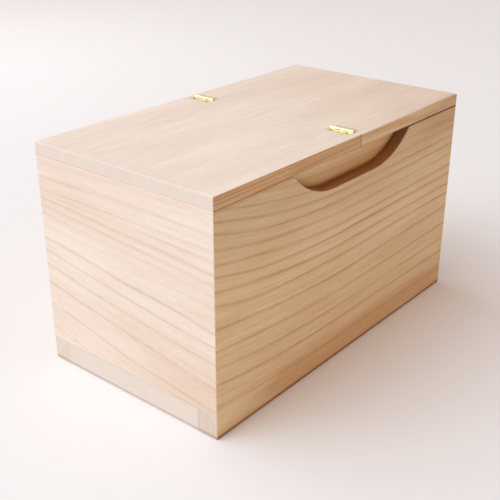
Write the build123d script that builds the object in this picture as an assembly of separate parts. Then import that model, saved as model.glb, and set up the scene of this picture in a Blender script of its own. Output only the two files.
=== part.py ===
"""Paulownia rice storage box with a two-part lid, brass hinges and a finger recess.

Millimetres. X runs along the length, Y along the depth and Z up. The origin is the
centre of the footprint, on the surface that the box stands on. The finger recess is
in the front board, at -Y. The folding half of the lid is the left one, at -X.
"""
import os
from math import acos, degrees, sin

from build123d import *

# The box as a whole
LENGTH = 366.0
DEPTH = 200.0
HEIGHT = 210.0
WALL = 20.0
FLOOR = 22.0
LID = 11.0
EASING = 0.8
FINE_EASING = 0.5
FOOT_EASING = 1.2

# Finger recess in the upper edge of the front board
RECESS_CENTRE = 2.5
RECESS_DEPTH = 12.0
RECESS_HEIGHT = 27.2
RECESS_FLAT = 61.0
RECESS_RADIUS = 80.0
SHOULDER_RADIUS = 4.0

# The line where the lid is split, and the gap there
SPLIT = 8.0
SPLIT_GAP = 0.2
SPLIT_EASING = 0.4

# Battens under the lid, which stand inside the mouth
BATTEN_WIDTH = 18.0
BATTEN_THICKNESS = 9.0
BATTEN_FROM_SPLIT = 13.0
BATTEN_EASING = 1.5
MOUTH_PLAY = 2.5

# Brass butt hinges, let into the top of the lid near its long edges
HINGE_LENGTH = 24.0
FRONT_HINGE_GAP = 7.7
REAR_HINGE_GAP = 6.5
LEAF_REACH = 9.0
LEAF_THICKNESS = 0.8
LEAF_CORNER = 0.8
LEAF_PLAY = 0.1
KNUCKLE_RADIUS = 1.4
KNUCKLE_COUNT = 5
KNUCKLE_GAP = 0.12
BARREL_LIFT = 0.1
BARREL_CLEARANCE = 0.3
PIN_RADIUS = 0.7
PIN_PLAY = 0.04
PIN_SINK = 0.5

# Countersunk wood screws with a cross recess
SCREW_SPACING = 16.0
SCREW_FROM_AXIS = 5.4
SCREW_LENGTH = 8.0
SCREW_POINT = 1.8
SCREW_RADIUS = 0.9
SCREW_HEAD_RADIUS = 1.8
CROSS_LENGTH = 1.9
CROSS_WIDTH = 0.5
CROSS_DEPTH = 0.45

# Places that follow from the sizes above
RIM = HEIGHT - LID
HALF_LENGTH = LENGTH / 2
HALF_DEPTH = DEPTH / 2
INNER_X = HALF_LENGTH - WALL
INNER_Y = HALF_DEPTH - WALL
FRONT_HINGE_Y = FRONT_HINGE_GAP + HINGE_LENGTH / 2 - HALF_DEPTH
REAR_HINGE_Y = HALF_DEPTH - REAR_HINGE_GAP - HINGE_LENGTH / 2
LEAF_SEAT = HEIGHT - LEAF_THICKNESS
PIN_HEIGHT = LEAF_SEAT + BARREL_LIFT + KNUCKLE_RADIUS


def block(x, y, z):
    """A box between three (low, high) pairs."""
    size = [high - low for low, high in (x, y, z)]
    corner = Pos(x[0], y[0], z[0])
    return corner * Box(*size, align=(Align.MIN, Align.MIN, Align.MIN))


def prism(points, z):
    """An upright prism over a plan outline, between two heights."""
    outline = make_face(Polyline(*points, close=True))
    return Pos(0, 0, z[0]) * extrude(outline, z[1] - z[0])


def edges_in(shape, axis, value):
    """The edges that lie in the plane square to an axis at a given place."""
    spread = 0.001
    return shape.edges().filter_by_position(axis, value - spread, value + spread)


def recess_cutter():
    """The finger recess: a flat floor that sweeps up in an arc at each side."""
    floor_level = RIM - RECESS_HEIGHT
    half_flat = RECESS_FLAT / 2
    sweep = acos(1 - RECESS_HEIGHT / RECESS_RADIUS)
    half_mouth = half_flat + RECESS_RADIUS * sin(sweep)
    arc_level = floor_level + RECESS_RADIUS
    above = RIM + 1
    outline = [
        Line((-half_flat, floor_level), (half_flat, floor_level)),
        CenterArc((half_flat, arc_level), RECESS_RADIUS, -90, degrees(sweep)),
        Polyline((half_mouth, RIM), (half_mouth, above), (-half_mouth, above), (-half_mouth, RIM)),
        CenterArc((-half_flat, arc_level), RECESS_RADIUS, -90 - degrees(sweep), degrees(sweep)),
    ]
    front = Plane((RECESS_CENTRE, -HALF_DEPTH, 0), x_dir=(1, 0, 0), z_dir=(0, -1, 0))
    return extrude(front * make_face(outline), -RECESS_DEPTH)


def assembled_box():
    """The box without its lid, as if glued up in one piece and then sanded."""
    body = block((-HALF_LENGTH, HALF_LENGTH), (-HALF_DEPTH, HALF_DEPTH), (0, RIM))
    body -= block((-INNER_X, INNER_X), (-INNER_Y, INNER_Y), (FLOOR, RIM))
    outer_corners = body.edges().filter_by(Axis.Z).sort_by(lambda edge: edge.center().length)[-4:]
    body = fillet(outer_corners, EASING)
    body = fillet(edges_in(body, Axis.Z, 0), FOOT_EASING)
    body -= recess_cutter()
    shoulders = edges_in(body, Axis.Z, RIM).filter_by(Axis.Y).filter_by(lambda edge: edge.length < WALL)
    body = fillet(shoulders, SHOULDER_RADIUS)
    rim = edges_in(body, Axis.Z, RIM)
    recess_edge = edges_in(body, Axis.Y, -HALF_DEPTH).filter_by(lambda edge: edge.center().Z < RIM)
    recess_edge = recess_edge.filter_by(lambda edge: edge.center().Z > RIM - RECESS_HEIGHT - 1)
    return fillet(rim + recess_edge, FINE_EASING)


def box_boards():
    """The five boards of the box. Their corners are mitred above the bottom board."""
    body = assembled_box()
    outer = (-HALF_LENGTH, HALF_LENGTH)
    foot = (0, FLOOR)
    wall = (FLOOR, RIM)
    inner_y = (-INNER_Y, INNER_Y)
    boards = {"bottom_board": block(outer, inner_y, foot)}
    for name, side in (("front_board", -1), ("back_board", 1)):
        mitred = [
            (-HALF_LENGTH, side * HALF_DEPTH),
            (HALF_LENGTH, side * HALF_DEPTH),
            (INNER_X, side * INNER_Y),
            (-INNER_X, side * INNER_Y),
        ]
        low, high = sorted((side * INNER_Y, side * HALF_DEPTH))
        boards[name] = prism(mitred, wall) + block(outer, (low, high), foot)
    for name, side in (("left_end_board", -1), ("right_end_board", 1)):
        mitred = [
            (side * HALF_LENGTH, -HALF_DEPTH),
            (side * HALF_LENGTH, HALF_DEPTH),
            (side * INNER_X, INNER_Y),
            (side * INNER_X, -INNER_Y),
        ]
        boards[name] = prism(mitred, wall)
    return {name: body & region for name, region in boards.items()}


def screw():
    """A countersunk wood screw, its head's top face at the origin and its point below."""
    cone = SCREW_HEAD_RADIUS - SCREW_RADIUS
    profile = Polyline(
        (0, 0),
        (SCREW_HEAD_RADIUS, 0),
        (SCREW_RADIUS, -cone),
        (SCREW_RADIUS, SCREW_POINT - SCREW_LENGTH),
        (0, -SCREW_LENGTH),
        close=True,
    )
    return revolve(Plane.XZ * make_face(profile), Axis.Z)


def crossed(solid):
    """A screw with the cross recess cut into its head."""
    arm = Box(CROSS_LENGTH, CROSS_WIDTH, 2 * CROSS_DEPTH)
    return solid - arm - Rot(0, 0, 90) * arm


def screw_places(hinge_y, side):
    """Where the two screws of one leaf stand, at the leaf's top face."""
    x = SPLIT + side * SCREW_FROM_AXIS
    return [Pos(x, hinge_y + end * SCREW_SPACING / 2, HEIGHT) for end in (-1, 1)]


def leaf(hinge_y, side, knuckles, bore):
    """A hinge leaf flush with the lid: its plate, the given knuckles of the barrel, and its screw holes."""
    pitch = HINGE_LENGTH / KNUCKLE_COUNT
    first = hinge_y - HINGE_LENGTH / 2

    def plate(near, far, y):
        x = sorted((SPLIT + side * near, SPLIT + side * far))
        return block(x, y, (LEAF_SEAT, HEIGHT))

    body = plate(KNUCKLE_RADIUS + BARREL_CLEARANCE, LEAF_REACH, (first, first + HINGE_LENGTH))
    outside = SPLIT + side * LEAF_REACH
    corners = edges_in(body, Axis.X, outside).filter_by(Axis.Z)
    body = fillet(corners, LEAF_CORNER)
    for index in knuckles:
        start = first + index * pitch + KNUCKLE_GAP / 2
        length = pitch - KNUCKLE_GAP
        roll = Pos(SPLIT, start + length / 2, PIN_HEIGHT) * Rot(90, 0, 0) * Cylinder(KNUCKLE_RADIUS, length)
        root = KNUCKLE_RADIUS / 2
        body += roll + plate(root, LEAF_REACH / 2, (start, start + length))
    axis_hole = Pos(SPLIT, hinge_y, PIN_HEIGHT) * Rot(90, 0, 0) * Cylinder(bore, 2 * HINGE_LENGTH)
    body -= axis_hole
    for place in screw_places(hinge_y, side):
        body -= place * screw()
    return body


def leaf_seat(hinge_y, side):
    """The shallow seat in the lid that takes one leaf and half of the barrel."""
    reach = LEAF_REACH + LEAF_PLAY
    half_length = HINGE_LENGTH / 2 + LEAF_PLAY
    x = sorted((SPLIT - side * SPLIT_GAP, SPLIT + side * reach))
    seat = block(x, (hinge_y - half_length, hinge_y + half_length), (LEAF_SEAT, HEIGHT + LID))
    corners = edges_in(seat, Axis.X, SPLIT + side * reach).filter_by(Axis.Z)
    return fillet(corners, LEAF_CORNER)


def pin(hinge_y):
    """A hinge pin, a little shorter than the barrel."""
    length = HINGE_LENGTH - 2 * PIN_SINK
    return Pos(SPLIT, hinge_y, PIN_HEIGHT) * Rot(90, 0, 0) * Cylinder(PIN_RADIUS, length)


def whole_lid():
    """The lid before it is split, with eased outer edges."""
    slab = block((-HALF_LENGTH, HALF_LENGTH), (-HALF_DEPTH, HALF_DEPTH), (RIM, HEIGHT))
    slab = fillet(slab.edges().filter_by(Axis.Z), EASING)
    slab = fillet(edges_in(slab, Axis.Z, HEIGHT), EASING)
    return fillet(edges_in(slab, Axis.Z, RIM), FINE_EASING)


def lid_half(side, hinges):
    """One half of the lid, with the seats of its leaves and pilot holes for their screws.

    At the split only its upright edges are eased.
    """
    split_face = SPLIT + side * SPLIT_GAP / 2
    x = sorted((split_face, side * LENGTH))
    half = whole_lid() & block(x, (-DEPTH, DEPTH), (0, 2 * HEIGHT))
    split_corners = edges_in(half, Axis.X, split_face).filter_by(Axis.Z)
    half = fillet(split_corners, SPLIT_EASING)
    for hinge_y in hinges:
        half -= leaf_seat(hinge_y, side)
        for place in screw_places(hinge_y, side):
            half -= place * screw()
    return half


def batten(x):
    """A cross batten under the lid, between two places along the length."""
    half = INNER_Y - MOUTH_PLAY
    bar = block(x, (-half, half), (RIM - BATTEN_THICKNESS, RIM))
    return fillet(edges_in(bar, Axis.Z, RIM - BATTEN_THICKNESS), BATTEN_EASING)


def battens(side):
    """The end batten and the middle batten of one half of the lid."""
    end = side * (INNER_X - MOUTH_PLAY)
    middle = SPLIT + side * BATTEN_FROM_SPLIT
    return (
        batten(sorted((end, end - side * BATTEN_WIDTH))),
        batten(sorted((middle, middle + side * BATTEN_WIDTH))),
    )


def lid_pieces():
    """Both halves of the lid with their battens and hinges."""
    hinges = {"front_hinge": FRONT_HINGE_Y, "rear_hinge": REAR_HINGE_Y}
    pieces = {}
    fold_knuckles = range(0, KNUCKLE_COUNT, 2)
    fixed_knuckles = range(1, KNUCKLE_COUNT, 2)
    halves = (
        ("folding", -1, fold_knuckles, PIN_RADIUS + PIN_PLAY),
        ("fixed", 1, fixed_knuckles, PIN_RADIUS),
    )
    for half, side, knuckles, bore in halves:
        pieces[f"lid_{half}_half"] = lid_half(side, hinges.values())
        end, middle = battens(side)
        pieces[f"{half}_half_end_batten"] = end
        pieces[f"{half}_half_middle_batten"] = middle
        for hinge, hinge_y in hinges.items():
            pieces[f"{hinge}_{half}_leaf"] = leaf(hinge_y, side, knuckles, bore)
            pair = [place * crossed(screw()) for place in screw_places(hinge_y, side)]
            pieces[f"{hinge}_{half}_screws"] = Compound(children=pair)
    for hinge, hinge_y in hinges.items():
        pieces[f"{hinge}_pin"] = pin(hinge_y)
    return pieces


def main():
    """Writes one STEP file for each piece."""
    os.makedirs("parts", exist_ok=True)
    pieces = {**box_boards(), **lid_pieces()}
    for name, shape in pieces.items():
        export_step(shape, f"parts/{name}.step")
    print(len(pieces), "pieces written")


main()
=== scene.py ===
"""Looks for a paulownia rice storage box with a two-part lid on brass butt hinges.

Metres, in the part's own frame: X along the length, Y towards the back and Z up. The grain
and the finish are written in millimetres, as a maker measures them on the board.
"""

import random
from math import cos, pi, radians, sin
from typing import NamedTuple

import bpy
from mathutils import Matrix, Vector


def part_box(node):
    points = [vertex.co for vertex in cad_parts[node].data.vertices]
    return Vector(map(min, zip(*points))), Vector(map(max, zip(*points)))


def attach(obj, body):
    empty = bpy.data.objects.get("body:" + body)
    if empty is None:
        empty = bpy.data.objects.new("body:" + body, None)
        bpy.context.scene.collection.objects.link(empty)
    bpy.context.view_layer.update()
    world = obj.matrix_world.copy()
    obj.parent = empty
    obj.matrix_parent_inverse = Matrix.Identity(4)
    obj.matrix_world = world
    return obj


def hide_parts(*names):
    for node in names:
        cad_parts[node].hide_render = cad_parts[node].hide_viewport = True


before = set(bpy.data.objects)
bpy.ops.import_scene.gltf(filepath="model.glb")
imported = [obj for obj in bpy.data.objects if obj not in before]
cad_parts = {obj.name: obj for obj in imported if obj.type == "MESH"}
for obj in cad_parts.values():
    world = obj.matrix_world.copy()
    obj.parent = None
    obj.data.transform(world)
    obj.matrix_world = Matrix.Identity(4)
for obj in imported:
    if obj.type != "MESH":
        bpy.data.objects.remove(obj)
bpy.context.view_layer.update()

MM = 0.001
X, Y, Z = 0, 1, 2
WHITE = (1, 1, 1, 1)

# Sockets of the colour Mix node, which share their names with its number and vector sockets
MIX_A, MIX_B, MIX_RESULT = 6, 7, 2

# Sockets of the Random Value node's number, which share their names with those of its other kinds
RANDOM_MAX, RANDOM_VALUE = 3, 1


def linear(hex_colour):
    """An sRGB hex colour as linear RGBA."""
    channels = [int(hex_colour[i:i + 2], 16) / 255 for i in (1, 3, 5)]
    return [c / 12.92 if c <= 0.04045 else ((c + 0.055) / 1.055) ** 2.4 for c in channels] + [1.0]


def add(tree, kind, inputs=None, **settings):
    """Adds a node with its settings. Each input is a value, an output, or a node for its first output."""
    node = tree.nodes.new(kind)
    for name, value in settings.items():
        setattr(node, name, value)
    for key, value in (inputs or {}).items():
        if isinstance(value, bpy.types.Node):
            value = value.outputs[0]
        if isinstance(value, bpy.types.NodeSocket):
            tree.links.new(value, node.inputs[key])
        else:
            node.inputs[key].default_value = value
    return node


def new_material(name):
    """An empty material and its node tree."""
    material = bpy.data.materials.new(name)
    material.use_nodes = True
    material.node_tree.nodes.clear()
    return material, material.node_tree


def set_stops(ramp_node, stops, interpolation):
    """Fills a ramp with (position, colour) stops, in rising order."""
    ramp = ramp_node.color_ramp
    ramp.interpolation = interpolation
    while len(ramp.elements) < len(stops):
        ramp.elements.new(1.0)
    for element, (position, colour) in zip(ramp.elements, stops):
        element.position = position
        element.color = colour


def zone(tree, *limits):
    """A mask with soft edges. Each limit is a value, where the zone begins along it and where it is full."""
    mask = None
    for value, begins, full in limits:
        inside = add(tree, "ShaderNodeMapRange", {"Value": value, "From Min": begins, "From Max": full},
                     interpolation_type="SMOOTHSTEP")
        if mask is not None:
            inside = add(tree, "ShaderNodeMath", {0: mask, 1: inside}, operation="MULTIPLY")
        mask = inside
    return mask


def painted(tree, colour, *coats):
    """A colour under coats of others. Each coat is a colour, then the limits of the zone that it covers."""
    for coat, *limits in coats:
        colour = add(tree, "ShaderNodeMix", {0: zone(tree, *limits), MIX_A: colour, MIX_B: coat},
                     data_type="RGBA").outputs[MIX_RESULT]
    return colour


def stained(tree, colour, stain, *limits):
    """A colour that a stain tints within the limits of a zone."""
    tint = painted(tree, WHITE, (linear(stain), *limits))
    return add(tree, "ShaderNodeVectorMath", {0: colour, 1: tint}, operation="MULTIPLY")


# The box in millimetres. These numbers only say where its finish changes

HALF_LENGTH = 183
HALF_DEPTH = 100
TOP = 210
RIM = 199
LID_SPLIT = 8
BOTTOM_THICKNESS = 22
BOARD_THICKNESS = 20

# The finger recess: a flat floor between two arcs
RECESS_MIDDLE = 2.5
RECESS_HALF_FLAT = 30.5
RECESS_RADIUS = 80.0
RECESS_FLOOR = 171.8
RECESS_WALL = -88


# Paulownia boards

class Cut(NamedTuple):
    """How a board was sawn out of its log. Places are in millimetres in the part's frame."""

    along: int               # the axis that the fibres follow
    across: int              # the axis across the board's face
    through: int             # the axis through its thickness
    half_length: float       # from the middle to an end, along the fibres
    edge: float              # where ring depths on the face are counted from
    face: float              # the show face
    pith: tuple              # the log's heart, as (across, through)
    rings: object            # each ring's depth at the low end, in the middle and at the high end, and its
                             # strength, or one width where all rings are alike
    line: float              # width of a ring's dark line
    bend: float = 1.0        # 1 for rings that run straight, 2 for rings that bend near the ends
    brown: tuple = ()        # a browner zone: the depths, then the places along, where it begins and is full


class Tone(NamedTuple):
    """The colours of one board. The line's and the streak's colours tint what they lie on."""

    pale: str
    warm: str
    line: str
    long_edge: str
    streak: str
    end_grain: str
    clouds: float            # how strong the soft clouds of the warm colour are
    end_lines: float         # how strongly the ring lines show on the board's ends


class SeamOrFootShade(NamedTuple):
    """A thin dark line where a board meets its neighbour, or painted shade along its foot on the floor, in
    millimetres in the part's frame.
    """

    axis: int
    level: float
    half_width: float
    tint: str


# The rings on the front face, counted from the lid's top
FRONT_RINGS = (
    (-25, 2, 0, 0.3), (-13, 13, 11, 0.3), (-1, 24, 22.5, 0.35), (10, 34, 32.5, 0.35), (20, 43, 42, 0.7),
    (29, 52, 50.5, 0.8), (41, 63, 61, 0.45), (54, 75, 72.5, 0.75), (63.5, 83, 82, 1.0), (76, 95, 94, 0.8),
    (87.5, 105, 103.5, 0.7), (107, 122, 118.5, 0.7), (127, 140, 138, 0.6), (143, 156, 156, 0.55),
    (157, 170, 171, 0.7), (178, 190, 192, 0.4), (203, 212, 214, 0.4),
)
# The rings on the left end's face, front corner first
END_RINGS = (
    (3, 1, 2, 0.2), (16, 14, 15, 0.2), (30, 28, 29.5, 0.6), (44, 42, 41, 0.6), (51, 47, 45, 0.4),
    (62, 56, 49, 0.9), (71, 64, 56, 0.7), (80, 71, 62.5, 0.4), (88, 82, 76, 0.3), (112.5, 101, 87.5, 1.0),
    (124, 113, 99, 0.9), (140, 128, 112.5, 0.9), (162, 147.5, 130.5, 0.9), (184, 172.5, 152, 0.5),
    (206, 196, 176, 0.4), (228, 220, 200, 0.4),
)
# A ramp holds numbers from 0 to 1, so it holds a ring's width as a share of this many millimetres
RING_WIDTH_SPAN = 64.0

# The shade of a ring's line from two line widths before it to four after it: a soft rise, and a
# slower fade down the next ring
LINE_BEGINS = -2.0
LINE_ENDS = 4.0
LINE_SHADES = (
    (0.0, 0.0), (0.12, 0.05), (0.24, 0.55), (0.32, 0.95), (0.37, 0.95), (0.46, 0.55), (0.58, 0.2),
    (0.75, 0.06), (1.0, 0.0),
)

# The waves that every real ring has, long along the fibres: how far each swings, its length and
# its width in millimetres, and what it adds to the board's seed
WAVES = ((1.6, 150, 60, 0), (0.45, 40, 12, 1), (0.6, 9, 3, 3))

# Each seed reads a patch of noise so many cells further on, and so no two patterns are alike
NOISE_STEP = Vector((17.3, 5.9, 41.1))

# The front board is yellower and warmer than the ends: partly its own colour, and partly painted warm shade,
# as it faces away from the window
FRONT_TONE = Tone(
    pale="#F2D7AB", warm="#DEB380", line="#D5B790", long_edge="#E6C7A2", streak="#E0C8AC",
    end_grain="#DDCCBD", clouds=0.6, end_lines=0.3,
)
BACK_TONE = FRONT_TONE._replace(pale="#EEDABF", warm="#E0BF9A", line="#DEC3A2", end_grain="#E2D3C6")
END_TONE = Tone(
    pale="#F2E1D1", warm="#E4CAB3", line="#E4D8C7", long_edge="#E6CBAA", streak="#E6D2BC",
    end_grain="#E5D6C8", clouds=0.6, end_lines=0.5,
)
# The lid's long edges are browner than its top: partly the edge grain, and partly painted shade, as the front
# edge faces away from the window
FIXED_LID_TONE = Tone(
    pale="#FFEEDF", warm="#E1C9AF", line="#E4D6C8", long_edge="#E9C99E", streak="#E8D6BE",
    end_grain="#E7D7C8", clouds=0.42, end_lines=1.1,
)
FOLDING_LID_TONE = FIXED_LID_TONE._replace(long_edge="#DDB386")

LID_JOINT = SeamOrFootShade(Z, RIM, 0.7, "#C9A37E")
# The foot seams are painted shade, darker towards the floor where the box stands
FOOT_SHADE = SeamOrFootShade(Z, 0, 4.4, "#EBDDCD")
END_FOOT_SHADE = SeamOrFootShade(Z, 0, 3.6, "#E7E0DC")
BOTTOM_JOINT = SeamOrFootShade(Z, BOTTOM_THICKNESS, 0.35, "#EFE6DC")
FRONT_CORNER_JOINT = SeamOrFootShade(Y, BOARD_THICKNESS - HALF_DEPTH, 0.35, "#CDB59C")
BACK_CORNER_JOINT = SeamOrFootShade(Y, HALF_DEPTH - BOARD_THICKNESS, 0.35, "#EDE3D9")


def grown_rings(seed, first, last, width, slope, bow):
    """Rings of a board that the eye can't check against another: uneven widths that grow with the depth."""
    draw = random.Random(seed)
    rings = []
    depth = first
    while depth < last:
        grown = (depth - first) / (last - first)
        tilt = slope * grown
        rings.append((depth - tilt - bow, depth, depth + tilt - bow, draw.uniform(0.4, 1.0)))
        depth += width * draw.uniform(0.7, 1.3) * (1 + 0.6 * grown)
    return tuple(rings)


def from_heart(tree, where, cut):
    """How far a place is from the log's heart."""
    offset = add(tree, "ShaderNodeCombineXYZ", {
        "X": add(tree, "ShaderNodeMath", {0: where[cut.across], 1: cut.pith[0]}, operation="SUBTRACT"),
        "Y": add(tree, "ShaderNodeMath", {0: where[cut.through], 1: cut.pith[1]}, operation="SUBTRACT"),
    })
    return add(tree, "ShaderNodeVectorMath", {0: offset}, operation="LENGTH").outputs["Value"]


def ring_ramp(tree, depth, cut, column):
    """The ring count, a ring's width and its line's strength at a depth, from one column of the rings."""
    first = cut.rings[0][column]
    span = cut.rings[-1][column] - first
    last = len(cut.rings) - 1
    stops = []
    for index, ring in enumerate(cut.rings):
        before = max(index - 1, 0)
        after = min(index + 1, last)
        width = (cut.rings[after][1] - cut.rings[before][1]) / (after - before)
        stops.append(((ring[column] - first) / span, (index / last, width / RING_WIDTH_SPAN, ring[3], 1)))
    share = add(tree, "ShaderNodeMapRange", {"Value": depth, "From Min": first, "From Max": first + span})
    ramp = add(tree, "ShaderNodeValToRGB", {"Fac": share})
    set_stops(ramp, stops, "LINEAR")
    return ramp


def line_shade(tree, distance, scale, strength):
    """The shade of a ring's line at a distance from it. The scale turns the distance into line widths."""
    widths = add(tree, "ShaderNodeMath", {0: distance, 1: scale}, operation="MULTIPLY")
    share = add(tree, "ShaderNodeMapRange", {"Value": widths, "From Min": LINE_BEGINS, "From Max": LINE_ENDS})
    ramp = add(tree, "ShaderNodeValToRGB", {"Fac": share})
    set_stops(ramp, [(position, (shade, shade, shade, 1)) for position, shade in LINE_SHADES], "EASE")
    return add(tree, "ShaderNodeMath", {0: ramp, 1: strength}, operation="MULTIPLY")


def ring_lines(tree, place, cut):
    """How dark the nearest growth ring's line makes the wood, from 0 to 1, and the depth among the rings.

    The rings are shells round the log's heart, so they cross a board's face, edges and ends as
    one solid figure. Their depths on the face are given at the two ends and in the middle.
    """
    where = add(tree, "ShaderNodeSeparateXYZ", {0: place}).outputs
    radius = from_heart(tree, where, cut)
    # The place on the face that lies in the same shell has this height over the heart
    face_offset = cut.face - cut.pith[1]
    square = add(tree, "ShaderNodeMath", {0: radius, 1: radius, 2: -face_offset ** 2},
                 operation="MULTIPLY_ADD")
    positive = add(tree, "ShaderNodeMath", {0: square, 1: 0.0}, operation="MAXIMUM")
    height = add(tree, "ShaderNodeMath", {0: positive}, operation="SQRT")
    depth = add(tree, "ShaderNodeMath", {0: cut.edge - cut.pith[0], 1: height}, operation="SUBTRACT")

    low_end, middle, high_end = (ring_ramp(tree, depth, cut, column) for column in (0, 1, 2))
    blended = middle
    for end, ramp in ((-1, low_end), (1, high_end)):
        towards = add(tree, "ShaderNodeMath", {0: where[cut.along], 1: end / cut.half_length},
                      operation="MULTIPLY")
        near = add(tree, "ShaderNodeMath", {0: towards, 1: 0.0}, operation="MAXIMUM")
        share = add(tree, "ShaderNodeMath", {0: near, 1: cut.bend}, operation="POWER")
        blended = add(tree, "ShaderNodeMix", {0: share, MIX_A: blended, MIX_B: ramp},
                      data_type="RGBA").outputs[MIX_RESULT]
    count, width, strength = add(tree, "ShaderNodeSeparateColor", {0: blended}).outputs

    rings = add(tree, "ShaderNodeMath", {0: count, 1: len(cut.rings) - 1.0, 2: 0.5}, operation="MULTIPLY_ADD")
    phase = add(tree, "ShaderNodeMath", {0: rings}, operation="FRACT")
    offset = add(tree, "ShaderNodeMath", {0: phase, 1: 0.5}, operation="SUBTRACT")
    distance = add(tree, "ShaderNodeMath", {0: offset, 1: width}, operation="MULTIPLY")
    whole_depth = float(cut.rings[-1][1] - cut.rings[0][1])
    grain_depth = add(tree, "ShaderNodeMath", {0: count, 1: whole_depth}, operation="MULTIPLY")
    return line_shade(tree, distance, RING_WIDTH_SPAN / cut.line, strength), grain_depth


def fine_rings(tree, place, cut):
    """The lines of a board with even, narrow rings, from 0 to 1, and the distance from the heart."""
    radius = from_heart(tree, add(tree, "ShaderNodeSeparateXYZ", {0: place}).outputs, cut)
    rings = add(tree, "ShaderNodeMath", {0: radius, 1: cut.rings}, operation="DIVIDE")
    phase = add(tree, "ShaderNodeMath", {0: rings}, operation="FRACT")
    offset = add(tree, "ShaderNodeMath", {0: phase, 1: 0.5}, operation="SUBTRACT")
    which = add(tree, "ShaderNodeMath", {0: rings}, operation="FLOOR")
    luck = add(tree, "ShaderNodeTexWhiteNoise", {"W": which}, noise_dimensions="1D").outputs["Value"]
    strength = add(tree, "ShaderNodeMapRange", {"Value": luck, "To Min": 0.3, "To Max": 1.0})
    return line_shade(tree, offset, cut.rings / cut.line, strength), radius


def stretched_noise(tree, place, cut, along, across, detail, seed):
    """Noise whose cells are as long along the fibres, and as wide across them, as given in mm."""
    scale = [1 / across] * 3
    scale[cut.along] = 1 / along
    cells = add(tree, "ShaderNodeVectorMath", {0: place, 1: scale, 2: NOISE_STEP * seed},
                operation="MULTIPLY_ADD")
    noise = add(tree, "ShaderNodeTexNoise", {
        "Vector": cells, "Scale": 1.0, "Detail": detail, "Roughness": 0.55,
    })
    return noise.outputs["Fac"]


def waved(tree, place, cut, seed):
    """The place, pushed across the board by the waves in its rings."""
    push = 0.0
    for swing, length, width, step in WAVES:
        wave = stretched_noise(tree, place, cut, along=length, across=width, detail=1, seed=seed + step)
        shift = add(tree, "ShaderNodeMapRange", {"Value": wave, "To Min": -swing, "To Max": swing})
        push = add(tree, "ShaderNodeMath", {0: push, 1: shift})
    direction = [0.0, 0.0, 0.0]
    direction[cut.across] = 1.0
    pushed = add(tree, "ShaderNodeVectorMath", {0: direction, "Scale": push}, operation="SCALE")
    return add(tree, "ShaderNodeVectorMath", {0: place, 1: pushed})


def along_rings(tree, place, cut, grain_depth):
    """The place, with its depth among the rings as its place across, so that streaks follow the rings."""
    parts = list(add(tree, "ShaderNodeSeparateXYZ", {0: place}).outputs)
    parts[cut.across] = grain_depth
    return add(tree, "ShaderNodeCombineXYZ", dict(enumerate(parts)))


def line_strength(tree, place, facing, cut, tone, contrast, seed):
    """How strongly the ring lines show: they come and go, and are weaker on the long edges and the ends."""
    fading = stretched_noise(tree, place, cut, along=70, across=14, detail=2, seed=seed)
    strength = add(tree, "ShaderNodeMapRange", {
        "Value": fading, "From Min": 0.3, "From Max": 0.65, "To Min": 0.55 * contrast, "To Max": contrast,
    })
    for axis, least in ((cut.across, 0.5), (cut.along, tone.end_lines)):
        slant = add(tree, "ShaderNodeMath", {0: facing[axis]}, operation="ABSOLUTE")
        show = add(tree, "ShaderNodeMapRange", {
            "Value": slant, "From Min": 0.4, "To Min": 1.0, "To Max": least,
        })
        strength = add(tree, "ShaderNodeMath", {0: strength, 1: show}, operation="MULTIPLY")
    return strength


def ground_colour(tree, place, facing, cut, tone, streaks, seed):
    """The wood between the ring lines, in soft clouds and streaks."""
    clouds = stretched_noise(tree, place, cut, along=160, across=38, detail=2, seed=seed)
    both = add(tree, "ShaderNodeMath", {0: clouds, 1: streaks})
    warmth = add(tree, "ShaderNodeMapRange", {
        "Value": both, "From Min": 0.75, "From Max": 1.25, "To Max": tone.clouds,
    })
    if cut.brown:
        where = add(tree, "ShaderNodeSeparateXYZ", {0: place}).outputs
        depth = add(tree, "ShaderNodeMath", {0: cut.edge, 1: where[cut.across]}, operation="SUBTRACT")
        brown = zone(tree, (depth, *cut.brown[:2]), (where[cut.along], *cut.brown[2:]))
        warmth = add(tree, "ShaderNodeMath", {0: brown, 1: 0.7, 2: warmth},
                     operation="MULTIPLY_ADD", use_clamp=True)
    face = add(tree, "ShaderNodeMix", {0: warmth, MIX_A: linear(tone.pale), MIX_B: linear(tone.warm)},
               data_type="RGBA").outputs[MIX_RESULT]

    # A long edge is cut along the rings, so it is browner and more streaked than the face; on the lid its
    # browner colour is partly painted shade
    strokes = stretched_noise(tree, place, cut, along=90, across=1.6, detail=2, seed=seed + 1)
    long_edge = stained(tree, linear(tone.long_edge)[:3], tone.streak, (strokes, 0.4, 0.7))
    sideways = add(tree, "ShaderNodeMath", {0: facing[cut.across]}, operation="ABSOLUTE")
    lengthways = add(tree, "ShaderNodeMath", {0: facing[cut.along]}, operation="ABSOLUTE")
    return painted(
        tree, face,
        (long_edge, (sideways, 0.45, 0.95)),
        (linear(tone.end_grain), (lengthways, 0.45, 0.95)),
    )


def add_seams_and_foot_shade(tree, colour, place, facing, seams_and_foot_shade):
    """Draws the seams, and the painted shade along the foot, on the surfaces that cross them."""
    where = add(tree, "ShaderNodeSeparateXYZ", {0: place}).outputs
    for seam_or_foot_shade in seams_and_foot_shade:
        offset = add(tree, "ShaderNodeMath", {0: where[seam_or_foot_shade.axis], 1: seam_or_foot_shade.level}, operation="SUBTRACT")
        distance = add(tree, "ShaderNodeMath", {0: offset}, operation="ABSOLUTE")
        flatness = add(tree, "ShaderNodeMath", {0: facing[seam_or_foot_shade.axis]}, operation="ABSOLUTE")
        colour = stained(
            tree, colour, seam_or_foot_shade.tint,
            (distance, seam_or_foot_shade.half_width, seam_or_foot_shade.half_width * 0.6),
            (flatness, 0.95, 0.7),
        )
    return colour


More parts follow.
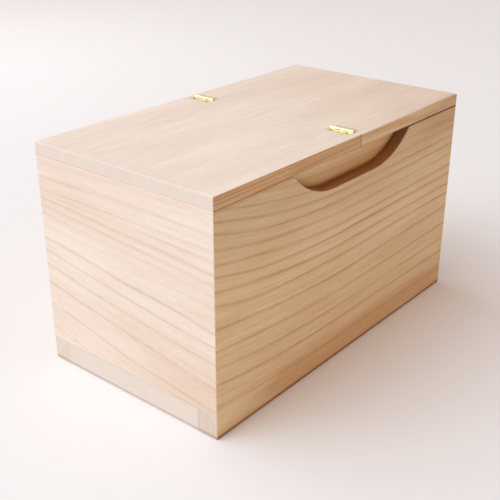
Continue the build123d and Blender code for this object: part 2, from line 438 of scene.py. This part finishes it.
def recess_rise(tree, where):
    """How far a place is above the finger recess's floor and its curved ends."""
    off_middle = add(tree, "ShaderNodeMath", {0: where[X], 1: RECESS_MIDDLE}, operation="SUBTRACT")
    aside = add(tree, "ShaderNodeMath", {0: off_middle}, operation="ABSOLUTE")
    past_flat = add(tree, "ShaderNodeMath", {0: aside, 1: RECESS_HALF_FLAT}, operation="SUBTRACT")
    arc_level = RECESS_FLOOR + RECESS_RADIUS
    from_centre = add(tree, "ShaderNodeCombineXYZ", {
        "X": add(tree, "ShaderNodeMath", {0: past_flat, 1: 0.0}, operation="MAXIMUM"),
        "Y": add(tree, "ShaderNodeMath", {0: where[Z], 1: arc_level}, operation="SUBTRACT"),
    })
    reach = add(tree, "ShaderNodeVectorMath", {0: from_centre}, operation="LENGTH").outputs["Value"]
    return add(tree, "ShaderNodeMath", {0: RECESS_RADIUS, 1: reach}, operation="SUBTRACT")


def recess_painted_shade(tree, where, facing):
    """Painted shade in the finger recess: the wall darkens towards the floor, and the floor is painted dark
    brown.
    """
    wall = painted(tree, WHITE, (linear("#F6E0C2"), (where[Z], RIM - 3, RECESS_FLOOR + 2.2)))
    # Painted shade darkens the wall where it meets the floor and its curved ends
    rise = recess_rise(tree, where)
    wall = stained(tree, wall, "#E6DDD0", (rise, 7.0, 1.0))
    wall = stained(tree, wall, "#CBB498", (rise, 2.6, 0.9))
    # Painted shade: the floor is darker on its curved ends than on the flat, and darker still next to the
    # wall
    ledge = painted(tree, linear("#AB8764"), (linear("#BB9D71"), (facing[Z], 0.85, 0.98)))
    ledge = stained(tree, ledge, "#F5ECE2", (where[Y], RECESS_WALL - 3, RECESS_WALL - 0.2))
    return painted(tree, wall, (ledge, (facing[Z], 0.1, 0.5)))


def shade_front(tree, colour, place, facing):
    """The front board: painted shade darker towards the lid, towards its right end, at the foot of its near
    corner and in the finger recess, a darker band under the lid on the left, and a dark joint line right of
    the recess.
    """
    where = add(tree, "ShaderNodeSeparateXYZ", {0: place}).outputs
    # Painted shade, darker towards the lid
    shade_below_lid = (linear("#EFECE9"), (where[Z], 115, 198))
    # Painted shade, darker towards the right end near the lid, away from the light
    shade_towards_right_end = (linear("#E5D8C9"), (where[Z], 168, 188), (where[X], 90, 150))
    # A darker band just under the lid, left of the recess
    left_of_recess = (linear("#E5D8CB"), (where[Z], RIM - 4, RIM - 2.2), (where[X], -60, -90))
    joint_right_of_recess = (
        linear("#8A5A20"),
        (where[Z], RIM - 2.2, RIM - 0.6),
        (where[X], 70, 90),
        (where[Y], 0.9 - HALF_DEPTH, 0.5 - HALF_DEPTH),
    )
    # Painted shade at the foot of the near corner
    foot = (linear("#C4A080"), (where[Z], 3.4, 1.4), (where[X], 0.1 - HALF_LENGTH, 0.8 - HALF_LENGTH))
    # Painted shade in the finger recess
    recess = (
        recess_painted_shade(tree, where, facing),
        (where[Y], 0.4 - HALF_DEPTH, 1.2 - HALF_DEPTH),
        (where[Y], RECESS_WALL + 0.8, RECESS_WALL + 0.4),
        (where[Z], RIM - 0.3, RIM - 0.7),
        (where[Z], RECESS_FLOOR - 0.8, RECESS_FLOOR - 0.2),
    )
    tint = painted(
        tree, WHITE, shade_below_lid, shade_towards_right_end, left_of_recess, joint_right_of_recess, foot, recess,
    )
    return add(tree, "ShaderNodeVectorMath", {0: colour, 1: tint}, operation="MULTIPLY")


def shade_lid(tree, colour, place, facing):
    """The lid's long edges: a fine dark line at the split between the halves, and painted shade darker
    towards the right end.
    """
    where = add(tree, "ShaderNodeSeparateXYZ", {0: place}).outputs
    offset = add(tree, "ShaderNodeMath", {0: where[X], 1: LID_SPLIT}, operation="SUBTRACT")
    distance = add(tree, "ShaderNodeMath", {0: offset}, operation="ABSOLUTE")
    outwards = add(tree, "ShaderNodeMath", {0: where[Y]}, operation="ABSOLUTE")
    edge = HALF_DEPTH - 3.5
    split = (linear("#C0A184"), (distance, 0.8, 0.4), (outwards, edge, edge + 1), (facing[Z], 0.8, 0.5))
    # Painted shade, darker towards the right end, away from the light
    shade_towards_right_end = (linear("#EEE5DC"), (where[X], 100, 165), (outwards, edge, edge + 2.5))
    tint = painted(tree, WHITE, split, shade_towards_right_end)
    return add(tree, "ShaderNodeVectorMath", {0: colour, 1: tint}, operation="MULTIPLY")


def paulownia(name, cut, tone, contrast, seams_and_foot_shade, seed, shade=None):
    """Sanded paulownia, unfinished: very pale, light wood with a silky, slightly grey sheen.

    To the eye it has thin brown ring lines, where the wide early pores are, over a straw ground
    with long soft streaks. Open pores are short dark scratches on the face and dots on the ends,
    and the ends look greyer, because the cut fibres swallow light.
    """
    material, tree = new_material(name)
    texture_space = add(tree, "ShaderNodeTexCoord").outputs
    place = add(tree, "ShaderNodeVectorMath", {0: texture_space["Object"], "Scale": 1 / MM},
                operation="SCALE")
    facing = add(tree, "ShaderNodeSeparateXYZ", {0: texture_space["Normal"]}).outputs

    find_lines = ring_lines if isinstance(cut.rings, tuple) else fine_rings
    lines, grain_depth = find_lines(tree, waved(tree, place, cut, seed), cut)
    strength = line_strength(tree, place, facing, cut, tone, contrast, seed + 2)
    dark = add(tree, "ShaderNodeMath", {0: lines, 1: strength}, operation="MULTIPLY")

    grain = along_rings(tree, place, cut, grain_depth)
    streaks = stretched_noise(tree, grain, cut, along=75, across=2.2, detail=3, seed=seed + 4)
    # Fibres are finer than this. They are drawn 0.8 mm wide, so that they show at all
    fibres = stretched_noise(tree, grain, cut, along=11, across=0.8, detail=2, seed=seed + 5)
    # Pores are 0.2 mm wide. They are drawn at 0.45 mm, so that they show at all
    pores = stretched_noise(tree, grain, cut, along=7, across=0.45, detail=0, seed=seed + 6)
    pits = add(tree, "ShaderNodeMapRange", {"Value": pores, "From Min": 0.62, "From Max": 0.78})

    ground = ground_colour(tree, place, facing, cut, tone, streaks, seed + 7)
    tint = add(tree, "ShaderNodeMix", {0: dark, MIX_A: WHITE, MIX_B: linear(tone.line)},
               data_type="RGBA").outputs[MIX_RESULT]
    ringed = add(tree, "ShaderNodeVectorMath", {0: ground, 1: tint}, operation="MULTIPLY")
    fibre_shade = add(tree, "ShaderNodeMapRange", {
        "Value": fibres, "From Min": 0.25, "From Max": 0.75, "To Min": 0.958, "To Max": 1.03,
    })
    pit_shade = add(tree, "ShaderNodeMath", {0: pits, 1: -0.08, 2: 1.0}, operation="MULTIPLY_ADD")
    fine_shade = add(tree, "ShaderNodeMath", {0: fibre_shade, 1: pit_shade}, operation="MULTIPLY")
    colour = add(tree, "ShaderNodeVectorMath", {0: ringed, "Scale": fine_shade}, operation="SCALE")
    colour = add_seams_and_foot_shade(tree, colour, place, facing, seams_and_foot_shade)
    if shade:
        colour = shade(tree, colour, place, facing)

    # Sanding leaves the ring lines and the pores a little low, and the fibres as a fine nap
    low = add(tree, "ShaderNodeMath", {0: dark, 1: 0.5, 2: pits}, operation="MULTIPLY_ADD")
    relief = add(tree, "ShaderNodeMath", {0: low, 1: -1.0, 2: fibres}, operation="MULTIPLY_ADD")
    bump = add(tree, "ShaderNodeBump", {"Height": relief, "Strength": 0.35, "Distance": 0.12 * MM})
    roughness = add(tree, "ShaderNodeMapRange", {"Value": streaks, "To Min": 0.5, "To Max": 0.68})
    surface = add(tree, "ShaderNodeBsdfPrincipled", {
        "Base Color": colour, "Roughness": roughness, "IOR": 1.5, "Normal": bump, "Specular IOR Level": 0.35,
    })
    add(tree, "ShaderNodeOutputMaterial", {"Surface": surface})
    return material


def dress(name, material):
    """Gives a CAD node its material."""
    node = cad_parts[name]
    if not node.material_slots:
        node.data.materials.append(material)
    for slot in node.material_slots:
        slot.material = material


def wood_boards():
    """Gives each wooden piece the paulownia that it is sawn from."""
    front = Cut(
        X, Z, Y, HALF_LENGTH, edge=TOP, face=-HALF_DEPTH, pith=(-60, 38), rings=FRONT_RINGS, line=1.3,
        bend=2.0, brown=(176, 190, -155, -92),
    )
    back = Cut(
        X, Z, Y, HALF_LENGTH, edge=TOP, face=HALF_DEPTH, pith=(-70, -30), line=1.6, bend=2.0,
        rings=grown_rings(5, first=-20, last=230, width=8, slope=6, bow=5),
    )
    left = Cut(
        Y, Z, X, HALF_DEPTH, edge=TOP, face=-HALF_LENGTH, pith=(-90, -60), rings=END_RINGS, line=1.4,
        brown=(130, 170, 70, -70),
    )
    right = Cut(
        Y, Z, X, HALF_DEPTH, edge=TOP, face=HALF_LENGTH, pith=(-80, 70), line=1.6,
        rings=grown_rings(8, first=-20, last=240, width=9, slope=8, bow=0),
    )
    bottom = Cut(X, Y, Z, HALF_LENGTH, edge=HALF_DEPTH, face=0, pith=(20, -330), rings=5.0, line=0.9)
    # The lid's browner zone, towards the front and the right end, is partly the wood's colour and partly
    # painted shade, as the light falls off there
    lid = Cut(
        X, Y, Z, HALF_LENGTH, edge=HALF_DEPTH, face=TOP, pith=(-420, 90), rings=2.8, line=0.7,
        brown=(-60, 200, -80, 200),
    )
    inner_half_depth = HALF_DEPTH - BOARD_THICKNESS
    batten = Cut(Y, X, Z, inner_half_depth, edge=0, face=190, pith=(-300, 120), rings=4.0, line=0.8)

    long_side = (LID_JOINT, FOOT_SHADE)
    bottom_ends = (END_FOOT_SHADE, BOTTOM_JOINT, FRONT_CORNER_JOINT, BACK_CORNER_JOINT)
    battens = [f"{half}_half_{place}_batten" for half in ("fixed", "folding") for place in ("end", "middle")]
    # Of each wood: its name and pieces, cut and tone, the contrast of its lines, its seams and painted foot
    # shade, seed and painted shade
    woods = (
        ("front_board", ["front_board"], front, FRONT_TONE, 0.98, long_side, 3, shade_front),
        ("back_board", ["back_board"], back, BACK_TONE, 0.9, long_side, 11),
        ("left_end_board", ["left_end_board"], left, END_TONE, 0.78, (BOTTOM_JOINT,), 21),
        ("right_end_board", ["right_end_board"], right, END_TONE, 0.9, (BOTTOM_JOINT,), 31),
        ("bottom_board", ["bottom_board"], bottom, END_TONE, 0.3, bottom_ends, 41),
        ("folding_half", ["lid_folding_half"], lid, FOLDING_LID_TONE, 0.28, (), 51, shade_lid),
        ("fixed_half", ["lid_fixed_half"], lid, FIXED_LID_TONE, 0.28, (), 51, shade_lid),
        ("battens", battens, batten, END_TONE, 0.6, (), 61),
    )
    for name, pieces, *finish in woods:
        material = paulownia(f"paulownia_{name}", *finish)
        for piece in pieces:
            dress(piece, material)


# Brass hinges and their screws

def brass(name, colour, roughness, scratch_axis, scratch):
    """Bright polished brass, as on small cabinet hinges.

    A warm yellow mirror with a soft haze. Polishing and handling leave hairlines along the
    piece, and the colour goes a little duller and redder where fingers don't reach.
    """
    material, tree = new_material(name)
    object_place = add(tree, "ShaderNodeTexCoord").outputs["Object"]
    place = add(tree, "ShaderNodeVectorMath", {0: object_place, "Scale": 1 / MM}, operation="SCALE")
    # Hairlines are finer than this. They are drawn 0.12 mm wide and 4 mm long, so that they show at all
    cells = [1 / 0.12] * 3
    cells[scratch_axis] = 1 / 4.0
    hair_place = add(tree, "ShaderNodeVectorMath", {0: place, 1: cells}, operation="MULTIPLY")
    hairlines = add(tree, "ShaderNodeTexNoise", {"Vector": hair_place, "Scale": 1.0, "Detail": 2.0})
    # Dull patches of about 3 mm
    patches = add(tree, "ShaderNodeTexNoise", {"Vector": place, "Scale": 0.35, "Detail": 3.0})
    dull = add(tree, "ShaderNodeMapRange", {"Value": patches, "From Min": 0.45, "From Max": 0.8})
    base = add(tree, "ShaderNodeMix", {0: dull, MIX_A: linear(colour), MIX_B: linear("#D8C994")},
               data_type="RGBA").outputs[MIX_RESULT]
    haze = add(tree, "ShaderNodeMapRange", {
        "Value": patches, "From Min": 0.3, "From Max": 0.7, "To Min": roughness, "To Max": roughness * 1.5,
    })
    bump = add(tree, "ShaderNodeBump", {"Height": hairlines, "Strength": scratch, "Distance": 0.02 * MM})
    surface = add(tree, "ShaderNodeBsdfPrincipled", {
        "Base Color": base, "Metallic": 1.0, "Roughness": haze, "Normal": bump,
    })
    add(tree, "ShaderNodeOutputMaterial", {"Surface": surface})
    return material


def screw_tree(material):
    """A Geometry Nodes tree that puts a countersunk, cross-headed wood screw on each point."""
    tree = bpy.data.node_groups.new("countersunk_screws", "GeometryNodeTree")
    tree.interface.new_socket("Places", in_out="INPUT", socket_type="NodeSocketGeometry")
    for name in (
        "Head radius", "Length", "Point length", "Thread pitch", "Cross length", "Cross width", "Cross depth",
    ):
        tree.interface.new_socket(name, in_out="INPUT", socket_type="NodeSocketFloat")
    tree.interface.new_socket("Seed", in_out="INPUT", socket_type="NodeSocketInt")
    tree.interface.new_socket("Screws", in_out="OUTPUT", socket_type="NodeSocketGeometry")
    given = add(tree, "NodeGroupInput").outputs

    # The head is a 90 degree cone, so it is as deep as it narrows to the shank, half its radius
    shank = add(tree, "ShaderNodeMath", {0: given["Head radius"], 1: 0.5}, operation="MULTIPLY")
    shank_end = add(tree, "ShaderNodeMath", {0: given["Point length"], 1: given["Length"]},
                    operation="SUBTRACT")
    shank_top = add(tree, "ShaderNodeMath", {0: shank, 1: -1.0}, operation="MULTIPLY")
    shank_length = add(tree, "ShaderNodeMath", {0: shank_top, 1: shank_end}, operation="SUBTRACT")
    tip = add(tree, "ShaderNodeMath", {0: given["Length"], 1: -1.0}, operation="MULTIPLY")
    sections = (
        (given["Head radius"], shank, shank, shank_top),
        (shank, shank, shank_length, shank_end),
        (shank, 0.0, given["Point length"], tip),
    )
    turned_parts = []
    for top, bottom, depth, foot in sections:
        cone = add(tree, "GeometryNodeMeshCone", {
            "Vertices": 32, "Radius Top": top, "Radius Bottom": bottom, "Depth": depth,
        }, fill_type="NGON")
        rise = add(tree, "ShaderNodeCombineXYZ", {"Z": foot})
        turned_parts.append(add(tree, "GeometryNodeTransform", {"Geometry": cone, "Translation": rise}))
    head, *shank_and_point = turned_parts

    # The cross is pressed into the head alone, which is a closed cone
    twice_deep = add(tree, "ShaderNodeMath", {0: given["Cross depth"], 1: 2.0}, operation="MULTIPLY")
    for x, y in (("Cross length", "Cross width"), ("Cross width", "Cross length")):
        size = add(tree, "ShaderNodeCombineXYZ", {"X": given[x], "Y": given[y], "Z": twice_deep})
        arm = add(tree, "GeometryNodeMeshCube", {"Size": size})
        head = add(tree, "GeometryNodeMeshBoolean", {0: head, 1: arm}, operation="DIFFERENCE", solver="EXACT")

    turns = add(tree, "ShaderNodeMath", {0: shank_length, 1: given["Thread pitch"]}, operation="DIVIDE")
    helix = add(tree, "GeometryNodeCurveSpiral", {
        "Resolution": 20, "Rotations": turns, "Start Radius": shank, "End Radius": shank,
        "Height": shank_length,
    })
    rise = add(tree, "ShaderNodeCombineXYZ", {"Z": shank_end})
    lowered = add(tree, "GeometryNodeTransform", {"Geometry": helix, "Translation": rise})
    ridge_size = add(tree, "ShaderNodeMath", {0: given["Thread pitch"], 1: 0.3}, operation="MULTIPLY")
    ridge = add(tree, "GeometryNodeCurvePrimitiveCircle", {"Resolution": 3, "Radius": ridge_size})
    thread = add(tree, "GeometryNodeCurveToMesh", {
        "Curve": lowered, "Profile Curve": ridge, "Fill Caps": True,
    })
    screw = add(tree, "GeometryNodeJoinGeometry", {0: head})
    for part in (*shank_and_point, thread):
        tree.links.new(part.outputs[0], screw.inputs[0])

    angle = add(tree, "FunctionNodeRandomValue", {"Seed": given["Seed"], RANDOM_MAX: pi}, data_type="FLOAT")
    turned = add(tree, "ShaderNodeCombineXYZ", {"Z": angle.outputs[RANDOM_VALUE]})
    placed = add(tree, "GeometryNodeInstanceOnPoints", {
        "Points": given["Places"], "Instance": screw, "Rotation": turned,
    })
    real = add(tree, "GeometryNodeRealizeInstances", {0: placed})
    finished = add(tree, "GeometryNodeSetMaterial", {"Geometry": real, "Material": material})
    add(tree, "NodeGroupOutput", {0: finished})
    return tree


def hinge_screws(body, half, tree, sizes):
    """The four screws that hold one half of the lid to its two hinges, as one piece."""
    replaced = [f"{hinge}_{half}_screws" for hinge in ("front_hinge", "rear_hinge")]
    radius = sizes["Head radius"]
    places = []
    for name in replaced:
        low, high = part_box(name)
        middle = (low.x + high.x) / 2
        places += [(middle, low.y + radius, high.z), (middle, high.y - radius, high.z)]
    points = bpy.data.meshes.new("screw_places")
    points.from_pydata(places, [], [])
    seat = bpy.data.objects.new("screw_seat", points)
    bpy.context.scene.collection.objects.link(seat)
    modifier = seat.modifiers.new("screws", "NODES")
    modifier.node_group = tree
    for item in tree.interface.items_tree:
        if item.in_out == "INPUT" and item.name in sizes:
            modifier[item.identifier] = sizes[item.name]
    evaluated = seat.evaluated_get(bpy.context.evaluated_depsgraph_get())
    mesh = bpy.data.meshes.new_from_object(evaluated)
    bpy.data.objects.remove(seat)
    mesh.name = f"{half}_half_hinge_screws"
    piece = bpy.data.objects.new(mesh.name, mesh)
    bpy.context.scene.collection.objects.link(piece)
    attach(piece, body)
    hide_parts(*replaced)


def brass_fittings():
    """The hinge leaves and pins get their brass, and the screws are made."""
    sheet = brass("polished_brass_sheet", "#EFE2B6", roughness=0.26, scratch_axis=Y, scratch=0.10)
    rod = brass("drawn_brass_rod", "#ECDEB0", roughness=0.27, scratch_axis=Y, scratch=0.15)
    # The screws' brass is darker than the leaves': partly a duller brass, and partly painted shade for the
    # shade their heads sit in
    turned = brass("turned_brass", "#B39C62", roughness=0.3, scratch_axis=X, scratch=0.10)
    for hinge in ("front_hinge", "rear_hinge"):
        dress(f"{hinge}_fixed_leaf", sheet)
        dress(f"{hinge}_folding_leaf", sheet)
        dress(f"{hinge}_pin", rod)
    low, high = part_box("front_hinge_fixed_screws")
    sizes = {
        "Head radius": (high.x - low.x) / 2,
        "Length": high.z - low.z,
        "Point length": 1.8 * MM,
        "Thread pitch": 0.9 * MM,
        "Cross length": 1.9 * MM,
        "Cross width": 0.5 * MM,
        "Cross depth": 0.45 * MM,
    }
    tree = screw_tree(turned)
    hinge_screws("lid_fixed", "fixed", tree, {**sizes, "Seed": 4})
    hinge_screws("lid_folding", "folding", tree, {**sizes, "Seed": 9})


# Studio

FLOOR_HALF = 20.0

# Towards the window
WINDOW = Vector((-0.4575, 0.5856, 0.6691))

# The camera that was fitted to the box's edges in the photograph: degrees, metres, and the lens in mm
CAMERA_AZIMUTH = 309.4676
CAMERA_ELEVATION = 24.9907
CAMERA_ROLL = 0.107
CAMERA_DISTANCE = 0.83763
CAMERA_TARGET = (-0.0175, 0.00247, 0.07939)
CAMERA_LENS = 62.307


def studio_floor():
    """A plain pale floor, far larger than the view."""
    corners = [(x * FLOOR_HALF, y * FLOOR_HALF, 0) for x, y in ((-1, -1), (1, -1), (1, 1), (-1, 1))]
    mesh = bpy.data.meshes.new("floor")
    mesh.from_pydata(corners, [], [(0, 1, 2, 3)])
    floor = bpy.data.objects.new("floor", mesh)
    bpy.context.scene.collection.objects.link(floor)
    material, tree = new_material("matt_paper_floor")
    surface = add(tree, "ShaderNodeBsdfDiffuse", {"Color": linear("#F8F5F3")})
    add(tree, "ShaderNodeOutputMaterial", {"Surface": surface})
    mesh.materials.append(material)


def studio_world():
    """Even soft light from all round, with a plain pale backdrop where the camera or a mirror looks at it."""
    world = bpy.data.worlds.new("studio")
    bpy.context.scene.world = world
    world.use_nodes = True
    tree = world.node_tree
    tree.nodes.clear()
    path = add(tree, "ShaderNodeLightPath").outputs
    seen = add(tree, "ShaderNodeMath", {0: path["Is Camera Ray"], 1: path["Is Glossy Ray"]},
               operation="MAXIMUM")
    seen = add(tree, "ShaderNodeMath", {0: seen, 1: path["Is Transmission Ray"]}, operation="MAXIMUM")
    light = add(tree, "ShaderNodeBackground", {"Color": linear("#FFE8DA"), "Strength": 0.527})
    backdrop = add(tree, "ShaderNodeBackground", {"Color": linear("#E0D9D6"), "Strength": 1.0})
    surface = add(tree, "ShaderNodeMixShader", {0: seen, 1: light, 2: backdrop})
    add(tree, "ShaderNodeOutputWorld", {"Surface": surface})


def soft_lamp(name, place, target, size, power, colour, spread=180):
    """A square soft lamp that looks from one place at another. Its cone of light is as wide as the spread."""
    data = bpy.data.lights.new(name, "AREA")
    data.spread = radians(spread)
    data.shape = "SQUARE"
    data.size = size
    data.energy = power
    data.color = linear(colour)[:3]
    lamp = bpy.data.objects.new(name, data)
    bpy.context.scene.collection.objects.link(lamp)
    lamp.location = place
    lamp.rotation_euler = (Vector(target) - Vector(place)).to_track_quat("-Z", "Y").to_euler()


def window_light():
    """Broad daylight from behind on the left, as from a tall window: the shadows have very soft edges."""
    data = bpy.data.lights.new("window_light", "SUN")
    data.energy = 1.77
    data.angle = radians(75)
    data.color = linear("#DAF0FF")[:3]
    light = bpy.data.objects.new("window_light", data)
    bpy.context.scene.collection.objects.link(light)
    light.rotation_euler = (-WINDOW).to_track_quat("-Z", "Y").to_euler()


def studio_lights():
    """The window, a lamp that fills in from the left, and a small one that brightens the floor behind."""
    window_light()
    soft_lamp("side_lamp", place=(-2.013, 0.539, 1.849), target=(0, 0, 0.1), size=2.4, power=25.6,
              colour="#E6EFFF")
    soft_lamp("backdrop_lamp", place=(0.4, 1.35, 1.2), target=(0.4, 1.35, 0), size=0.8, power=1.35,
              colour="#F6F4F8", spread=110)


def studio_camera():
    """The camera at the photograph's viewing angle, with a little roll."""
    azimuth, elevation, roll = radians(CAMERA_AZIMUTH), radians(CAMERA_ELEVATION), radians(CAMERA_ROLL)
    back = Vector((sin(azimuth) * cos(elevation), -cos(azimuth) * cos(elevation), sin(elevation)))
    data = bpy.data.cameras.new("camera")
    data.sensor_width = 36.0
    data.lens = CAMERA_LENS
    camera = bpy.data.objects.new("camera", data)
    bpy.context.scene.collection.objects.link(camera)
    turn = (-back).to_track_quat("-Z", "Y").to_matrix().to_4x4() @ Matrix.Rotation(roll, 4, "Z")
    camera.matrix_world = Matrix.Translation(Vector(CAMERA_TARGET) + back * CAMERA_DISTANCE) @ turn
    bpy.context.scene.camera = camera


wood_boards()
brass_fittings()
studio_floor()
studio_world()
studio_lights()
studio_camera()
bpy.context.scene.view_settings.view_transform = "Standard"
